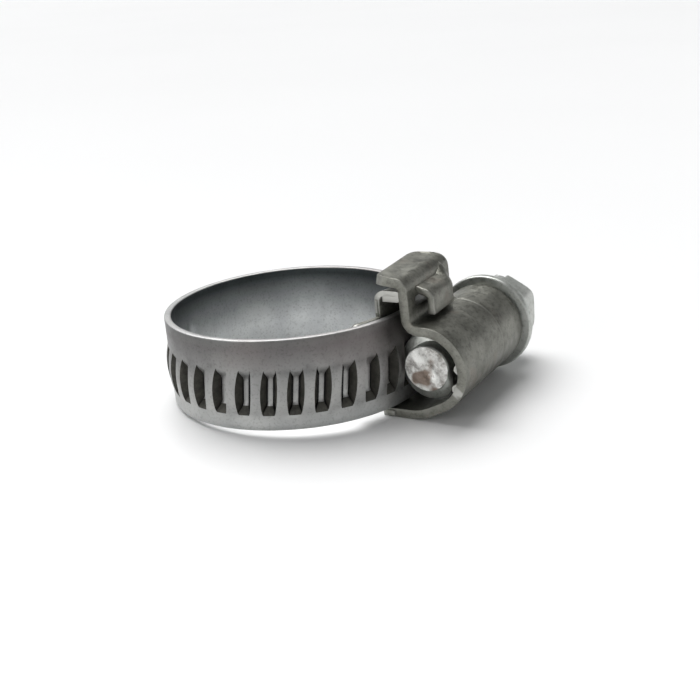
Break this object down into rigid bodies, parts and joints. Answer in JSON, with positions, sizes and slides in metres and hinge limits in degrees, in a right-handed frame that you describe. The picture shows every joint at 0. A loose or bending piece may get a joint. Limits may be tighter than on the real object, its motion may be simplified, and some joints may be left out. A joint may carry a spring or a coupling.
{
  "type": "hose clamp",
  "caption": "Worm-drive hose clamp: a slotted steel band closed into a ring, drawn tight by a hex-headed worm screw in a pressed housing.",
  "frame": {"origin": "on the ring's axis, half way up the band's width", "axes": "+Z along the ring's axis, the way a hose passes through; +X from the ring's axis towards the housing; +Y along the worm screw, towards its hex head"},
  "size_m": [0.0341, 0.0315, 0.0141],
  "materials": {
    "band_steel": "matt galvanised strip with fine speckle",
    "housing_steel": "pressed sheet, mottled dull plating, bright worn edges",
    "screw_zinc": "satin zinc plating, raw sheared tip"
  },
  "bodies": {
    "housing_set": {"housing": "housing_steel", "saddle": "housing_steel", "band_fixed_end": "band_steel"},
    "screw": {"worm_screw": "screw_zinc"},
    "tail": {"band_tail": "band_steel"},
    "link_01": {"band_link_01": "band_steel"},
    "link_02": {"band_link_02": "band_steel"},
    "link_03": {"band_link_03": "band_steel"},
    "link_04": {"band_link_04": "band_steel"},
    "link_05": {"band_link_05": "band_steel"},
    "link_06": {"band_link_06": "band_steel"},
    "link_07": {"band_link_07": "band_steel"},
    "link_08": {"band_link_08": "band_steel"},
    "link_09": {"band_link_09": "band_steel"},
    "link_10": {"band_link_10": "band_steel"},
    "link_11": {"band_link_11": "band_steel"},
    "link_12": {"band_link_12": "band_steel"},
    "link_13": {"band_link_13": "band_steel"},
    "link_14": {"band_link_14": "band_steel"},
    "link_15": {"band_link_15": "band_steel"},
    "link_16": {"band_link_16": "band_steel"},
    "link_17": {"band_link_17": "band_steel"},
    "link_18": {"band_link_18": "band_steel"},
    "link_19": {"band_link_19": "band_steel"},
    "link_20": {"band_link_20": "band_steel"},
    "link_21": {"band_link_21": "band_steel"}
  },
  "joints": [
    {"name": "screw_turn", "type": "hinge", "parent": "housing_set", "child": "screw", "pos_m": [0.0162, 0, -0.0006], "axis": [0, -1, 0], "range_deg": [-360, 1800]},
    {"name": "tail_slide", "type": "hinge", "parent": "housing_set", "child": "tail", "pos_m": [0, 0, 0], "axis": [0, 0, 1], "range_deg": [-10.7, 53.4]},
    {"name": "bend_01", "type": "hinge", "parent": "housing_set", "child": "link_01", "pos_m": [0.00999, 0.00724, 0], "axis": [0, 0, 1], "range_deg": [-1.2, 5.8]},
    {"name": "bend_02", "type": "hinge", "parent": "housing_set", "child": "link_02", "pos_m": [0.00919, 0.00807, 0], "axis": [0, 0, 1], "range_deg": [-2.3, 11.1]},
    {"name": "bend_03", "type": "hinge", "parent": "housing_set", "child": "link_03", "pos_m": [0.00835, 0.0087, 0], "axis": [0, 0, 1], "range_deg": [-3.1, 15.4]},
    {"name": "bend_04", "type": "hinge", "parent": "housing_set", "child": "link_04", "pos_m": [0.00757, 0.00913, 0], "axis": [0, 0, 1], "range_deg": [-3.8, 18.7]},
    {"name": "bend_05", "type": "hinge", "parent": "housing_set", "child": "link_05", "pos_m": [0.0069, 0.00937, 0], "axis": [0, 0, 1], "range_deg": [-4.2, 21]},
    {"name": "bend_06", "type": "hinge", "parent": "housing_set", "child": "link_06", "pos_m": [0.00637, 0.00949, 0], "axis": [0, 0, 1], "range_deg": [-4.5, 22.5]},
    {"name": "bend_07", "type": "hinge", "parent": "housing_set", "child": "link_07", "pos_m": [0.00596, 0.00953, 0], "axis": [0, 0, 1], "range_deg": [-4.7, 23.5]},
    {"name": "bend_08", "type": "hinge", "parent": "housing_set", "child": "link_08", "pos_m": [0.0056, 0.00951, 0], "axis": [0, 0, 1], "range_deg": [-4.9, 24.3]},
    {"name": "bend_09", "type": "hinge", "parent": "housing_set", "child": "link_09", "pos_m": [0.00522, 0.00945, 0], "axis": [0, 0, 1], "range_deg": [-5, 25]},
    {"name": "bend_10", "type": "hinge", "parent": "housing_set", "child": "link_10", "pos_m": [0.00474, 0.00931, 0], "axis": [0, 0, 1], "range_deg": [-5.2, 25.9]},
    {"name": "bend_11", "type": "hinge", "parent": "housing_set", "child": "link_11", "pos_m": [0.00411, 0.00906, 0], "axis": [0, 0, 1], "range_deg": [-5.4, 27]},
    {"name": "bend_12", "type": "hinge", "parent": "housing_set", "child": "link_12", "pos_m": [0.00336, 0.00865, 0], "axis": [0, 0, 1], "range_deg": [-5.7, 28.5]},
    {"name": "bend_13", "type": "hinge", "parent": "housing_set", "child": "link_13", "pos_m": [0.00255, 0.00807, 0], "axis": [0, 0, 1], "range_deg": [-6.1, 30.2]},
    {"name": "bend_14", "type": "hinge", "parent": "housing_set", "child": "link_14", "pos_m": [0.00174, 0.00732, 0], "axis": [0, 0, 1], "range_deg": [-6.5, 32.2]},
    {"name": "bend_15", "type": "hinge", "parent": "housing_set", "child": "link_15", "pos_m": [0.00101, 0.00645, 0], "axis": [0, 0, 1], "range_deg": [-6.9, 34.5]},
    {"name": "bend_16", "type": "hinge", "parent": "housing_set", "child": "link_16", "pos_m": [0.00039, 0.00548, 0], "axis": [0, 0, 1], "range_deg": [-7.4, 36.9]},
    {"name": "bend_17", "type": "hinge", "parent": "housing_set", "child": "link_17", "pos_m": [-0.00006, 0.00447, 0], "axis": [0, 0, 1], "range_deg": [-7.9, 39.4]},
    {"name": "bend_18", "type": "hinge", "parent": "housing_set", "child": "link_18", "pos_m": [-0.00036, 0.00345, 0], "axis": [0, 0, 1], "range_deg": [-8.5, 42.1]},
    {"name": "bend_19", "type": "hinge", "parent": "housing_set", "child": "link_19", "pos_m": [-0.00048, 0.00247, 0], "axis": [0, 0, 1], "range_deg": [-9, 44.8]},
    {"name": "bend_20", "type": "hinge", "parent": "housing_set", "child": "link_20", "pos_m": [-0.00045, 0.00155, 0], "axis": [0, 0, 1], "range_deg": [-9.6, 47.6]},
    {"name": "bend_21", "type": "hinge", "parent": "housing_set", "child": "link_21", "pos_m": [-0.00028, 0.00072, 0], "axis": [0, 0, 1], "range_deg": [-10.1, 50.5]}
  ],
  "couplings": [
    {"joint": "tail_slide", "follows": "screw_turn", "ratio": 0.029652},
    {"joint": "bend_01", "follows": "screw_turn", "ratio": 0.0032183},
    {"joint": "bend_02", "follows": "screw_turn", "ratio": 0.0061208},
    {"joint": "bend_03", "follows": "screw_turn", "ratio": 0.0085205},
    {"joint": "bend_04", "follows": "screw_turn", "ratio": 0.010347},
    {"joint": "bend_05", "follows": "screw_turn", "ratio": 0.011631},
    {"joint": "bend_06", "follows": "screw_turn", "ratio": 0.012476},
    {"joint": "bend_07", "follows": "screw_turn", "ratio": 0.013031},
    {"joint": "bend_08", "follows": "screw_turn", "ratio": 0.013447},
    {"joint": "bend_09", "follows": "screw_turn", "ratio": 0.013857},
    {"joint": "bend_10", "follows": "screw_turn", "ratio": 0.014354},
    {"joint": "bend_11", "follows": "screw_turn", "ratio": 0.014995},
    {"joint": "bend_12", "follows": "screw_turn", "ratio": 0.015801},
    {"joint": "bend_13", "follows": "screw_turn", "ratio": 0.01677},
    {"joint": "bend_14", "follows": "screw_turn", "ratio": 0.017884},
    {"joint": "bend_15", "follows": "screw_turn", "ratio": 0.019122},
    {"joint": "bend_16", "follows": "screw_turn", "ratio": 0.020459},
    {"joint": "bend_17", "follows": "screw_turn", "ratio": 0.021875},
    {"joint": "bend_18", "follows": "screw_turn", "ratio": 0.023352},
    {"joint": "bend_19", "follows": "screw_turn", "ratio": 0.024878},
    {"joint": "bend_20", "follows": "screw_turn", "ratio": 0.026442},
    {"joint": "bend_21", "follows": "screw_turn", "ratio": 0.028037}
  ]
}
